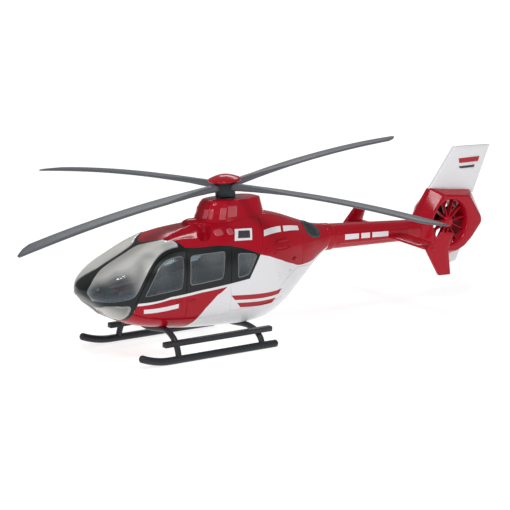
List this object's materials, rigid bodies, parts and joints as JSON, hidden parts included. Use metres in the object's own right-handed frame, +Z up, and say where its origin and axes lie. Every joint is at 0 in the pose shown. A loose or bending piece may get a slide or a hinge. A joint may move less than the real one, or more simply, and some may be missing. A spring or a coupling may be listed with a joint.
{
  "type": "helicopter scale model",
  "caption": "Free-standing plastic display model of a light rescue helicopter with a turning four-blade rotor, a shrouded tail fan, glazed cabin and tubular skids",
  "frame": {"origin": "bottom centre of the bounding box, on the ground under the skids", "axes": "+X from nose to tail, +Y to starboard, +Z up"},
  "size_m": [0.134, 0.1149, 0.0389],
  "materials": {
    "red_plastic": "glossy deep red",
    "white_plastic": "glossy white",
    "clear_plastic": "clear canopy moulding with black printed frames",
    "black_plastic": "satin charcoal",
    "grey_plastic": "satin mid grey",
    "dark_plastic": "satin dark grey",
    "seat_plastic": "matt grey",
    "steel": "plain steel"
  },
  "bodies": {
    "airframe": {"belly_pan": "white_plastic", "cabin_floor": "seat_plastic", "canopy_glazing": "clear_plastic", "copilot_seat": "seat_plastic", "endplate_port": "red_plastic", "endplate_starboard": "red_plastic", "engine_cowling": "red_plastic", "exhaust_port": "dark_plastic", "exhaust_starboard": "dark_plastic", "fan_axle": "steel", "fenestron_shroud": "red_plastic", "front_belly_screw": "steel", "front_cross_tube": "black_plastic", "fuselage_shell": "red_plastic", "horizontal_stabiliser": "red_plastic", "instrument_panel": "black_plastic", "lower_fin": "white_plastic", "mast_bush": "dark_plastic", "mast_fairing": "red_plastic", "pilot_seat": "seat_plastic", "rear_belly_screw": "steel", "rear_bench": "seat_plastic", "rear_bulkhead": "seat_plastic", "rear_cross_tube": "black_plastic", "skid_tube_port": "black_plastic", "skid_tube_starboard": "black_plastic", "step_port": "black_plastic", "step_starboard": "black_plastic", "tail_boom": "red_plastic", "vertical_fin": "white_plastic"},
    "main_rotor": {"rotor_mast": "steel", "rotor_hub": "dark_plastic", "rotor_cap": "red_plastic", "rotor_blade_1": "grey_plastic", "rotor_blade_2": "grey_plastic", "rotor_blade_3": "grey_plastic", "rotor_blade_4": "grey_plastic"},
    "tail_rotor": {"tail_fan": "grey_plastic"}
  },
  "joints": [
    {"name": "rotor_spin", "type": "hinge", "parent": "airframe", "child": "main_rotor", "pos_m": [-0.00989, 0, 0.0336], "axis": [-0.0906, 0, 0.9959], "continuous": true},
    {"name": "fan_spin", "type": "hinge", "parent": "airframe", "child": "tail_rotor", "pos_m": [0.05251, 0.0009, 0.0201], "axis": [0, 1, 0], "continuous": true}
  ]
}
